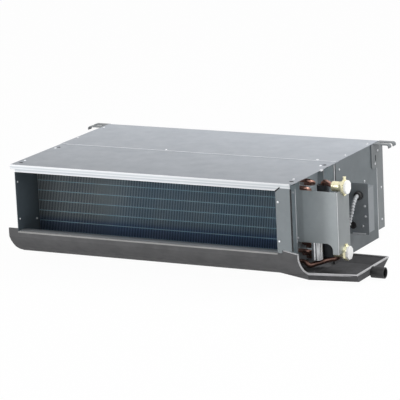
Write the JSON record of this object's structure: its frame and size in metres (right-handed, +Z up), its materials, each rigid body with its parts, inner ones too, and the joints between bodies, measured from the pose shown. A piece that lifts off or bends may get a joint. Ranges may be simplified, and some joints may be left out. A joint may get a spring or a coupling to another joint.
{
  "type": "fan coil unit",
  "caption": "Ceiling-hung ducted fan coil unit: sheet casing, finned water coil at an open discharge mouth, twin blowers, drain pan with side tray, brass water connections and a control box.",
  "frame": {"origin": "midway between the two rear hanging slots, on the top plane of the casing", "axes": "+X across towards the water connections, +Y from the discharge mouth to the air inlet, +Z up"},
  "size_m": [0.966, 0.5198, 0.2522],
  "materials": {
    "galvanised_sheet": "zinc-coated satin",
    "fin_aluminium": "blue coated, matt",
    "copper_tube": "drawn copper",
    "plated_tube": "tinned, satin",
    "black_foam": "closed-cell foam, matt",
    "brass_fitting": "turned",
    "white_plastic": "moulded",
    "pan_coating": "grey foam-backed coating, matt",
    "black_plastic": "moulded",
    "black_rubber": "moulded",
    "turned_steel": "zinc plated",
    "motor_paint": "satin",
    "grey_conduit": "ribbed",
    "ivory_plastic": "moulded"
  },
  "bodies": {
    "casing": {"front_top_panel": "galvanised_sheet", "rear_top_panel": "galvanised_sheet", "discharge_top_flange": "galvanised_sheet", "discharge_sill": "galvanised_sheet", "left_discharge_side": "galvanised_sheet", "right_discharge_side": "galvanised_sheet", "left_tube_sheet": "galvanised_sheet", "right_tube_sheet": "galvanised_sheet", "pipe_bracket": "galvanised_sheet", "fan_deck": "galvanised_sheet", "left_side_panel": "galvanised_sheet", "right_side_panel": "galvanised_sheet", "bottom_panel": "galvanised_sheet", "rear_panel": "galvanised_sheet", "inlet_collar": "galvanised_sheet", "left_blower_housing": "galvanised_sheet", "right_blower_housing": "galvanised_sheet", "motor_cradle": "galvanised_sheet", "left_hanger": "galvanised_sheet", "right_hanger": "galvanised_sheet", "control_box": "galvanised_sheet", "control_box_cover": "galvanised_sheet", "coil_fins": "fin_aluminium", "coil_tubes": "copper_tube", "left_return_bends": "copper_tube", "right_return_bends": "copper_tube", "return_header": "copper_tube", "supply_pipe": "copper_tube", "return_pipe": "copper_tube", "supply_header": "plated_tube", "header_sleeve": "black_foam", "supply_fitting": "brass_fitting", "return_fitting": "brass_fitting", "drain_pan": "pan_coating", "valve_tray": "pan_coating", "drain_stub": "black_plastic", "cable_gland": "black_plastic", "motor_rings": "black_rubber", "cable_bush": "black_rubber", "conduit_bush": "black_rubber", "casing_screws": "turned_steel", "coil_screws": "turned_steel", "motor_body": "motor_paint", "wiring_conduit": "grey_conduit", "terminal_block": "ivory_plastic", "run_capacitor": "ivory_plastic"},
    "blower_rotor": {"motor_shaft": "turned_steel", "left_impeller": "black_plastic", "right_impeller": "black_plastic"},
    "supply_plug": {"supply_cap": "white_plastic"},
    "return_plug": {"return_cap": "white_plastic"},
    "vent": {"vent_screw": "brass_fitting"}
  },
  "joints": [
    {"name": "blower_spin", "type": "hinge", "parent": "casing", "child": "blower_rotor", "pos_m": [0, -0.114, -0.122], "axis": [1, 0, 0], "continuous": true},
    {"name": "return_cap_pull", "type": "slide", "parent": "casing", "child": "return_plug", "axis": [1, 0, 0], "range_m": [0, 0.04]},
    {"name": "supply_cap_pull", "type": "slide", "parent": "casing", "child": "supply_plug", "axis": [1, 0, 0], "range_m": [0, 0.04]},
    {"name": "vent_turn", "type": "hinge", "parent": "casing", "child": "vent", "pos_m": [0.4515, -0.34, -0.012], "axis": [0, 0, 1], "range_deg": [0, 360]}
  ]
}
